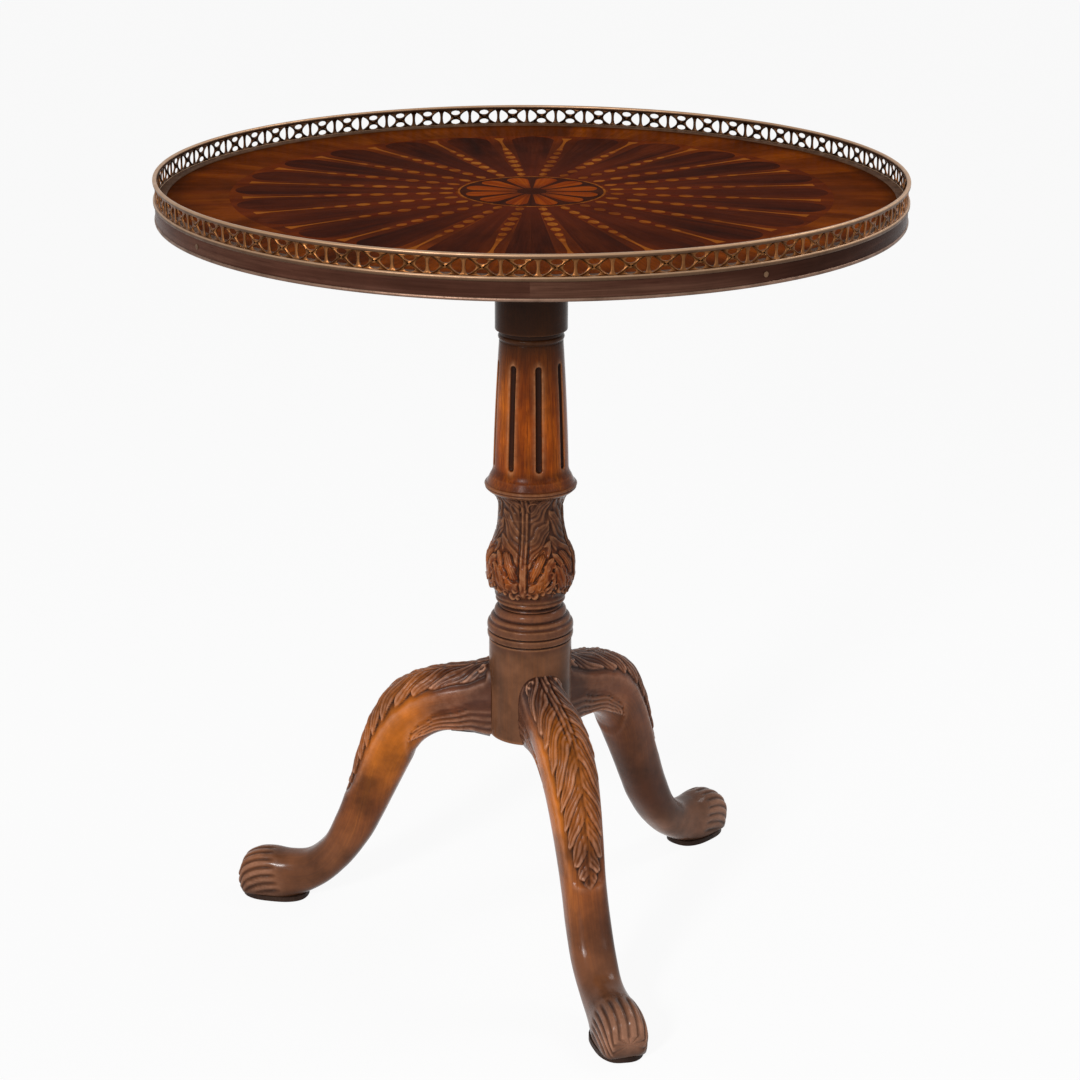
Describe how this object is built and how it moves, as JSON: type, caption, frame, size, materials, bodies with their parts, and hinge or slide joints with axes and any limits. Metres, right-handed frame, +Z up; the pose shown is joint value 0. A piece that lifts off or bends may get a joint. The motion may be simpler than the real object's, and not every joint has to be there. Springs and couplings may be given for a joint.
{
  "type": "tray top tea table",
  "caption": "Round tray-top tea table: pierced gallery, sunburst veneers, tip-up top on a fluted and carved column with cabriole legs.",
  "frame": {"origin": "on the floor, on the axis of the column and the centre of the round tray", "axes": "+Z is up, -Y is the front, towards which the tray's face turns when it tips up, and +X is the right"},
  "size_m": [0.689, 0.689, 0.762],
  "materials": {
    "tray_board": "plain sawn, oiled",
    "edge_wood": "dark polished",
    "edge_line": "satin",
    "field_wood": "polished",
    "border_wood": "polished cross-grain",
    "petal_wood": "polished",
    "light_inlay": "polished",
    "medallion_wood": "polished",
    "gallery_brass": "aged",
    "fret_bronze": "dark bronzed",
    "pin_brass": "satin",
    "bearer_wood": "plain",
    "pivot_wood": "plain",
    "screw_steel": "zinc",
    "catch_brass": "satin",
    "spring_steel": "blued",
    "column_wood": "glazed and polished",
    "leg_wood": "glazed and polished",
    "pad_wood": "dark",
    "spider_iron": "black"
  },
  "bodies": {
    "base": {"tilt_block": "bearer_wood", "pivot_pin_left": "pivot_wood", "pivot_pin_right": "pivot_wood", "tenon_wedge": "pivot_wood", "catch_keeper": "catch_brass", "keeper_screws": "screw_steel", "column": "column_wood", "leg_front": "leg_wood", "leg_left": "leg_wood", "leg_right": "leg_wood", "foot_pad_front": "pad_wood", "foot_pad_left": "pad_wood", "foot_pad_right": "pad_wood", "spider_plate": "spider_iron", "spider_screws": "screw_steel"},
    "top": {"top_board": "tray_board", "edge_band": "edge_wood", "edge_line": "edge_line", "field_veneer": "field_wood", "border_veneer": "border_wood", "petal_inlays": "petal_wood", "line_inlays": "light_inlay", "medallion_line": "light_inlay", "medallion_shells": "light_inlay", "medallion_ground": "medallion_wood", "gallery_foot_rail": "gallery_brass", "gallery_top_rail": "gallery_brass", "gallery_fret": "fret_bronze", "rim_pins": "pin_brass", "bearer_left": "bearer_wood", "bearer_right": "bearer_wood", "bearer_screws": "screw_steel", "catch_case": "catch_brass", "catch_screws": "screw_steel", "catch_spring": "spring_steel"},
    "catch_bolt": {"catch_bolt": "catch_brass"}
  },
  "joints": [
    {"name": "tray_tilt", "type": "hinge", "parent": "base", "child": "top", "pos_m": [0, -0.055, 0.703], "axis": [1, 0, 0], "range_deg": [0, 90]},
    {"name": "catch_slide", "type": "slide", "parent": "top", "child": "catch_bolt", "axis": [0, 1, 0], "range_m": [0, 0.007], "stiffness_N_per_m": 400, "springref_m": -0.006, "deforming": ["catch_spring"]}
  ]
}
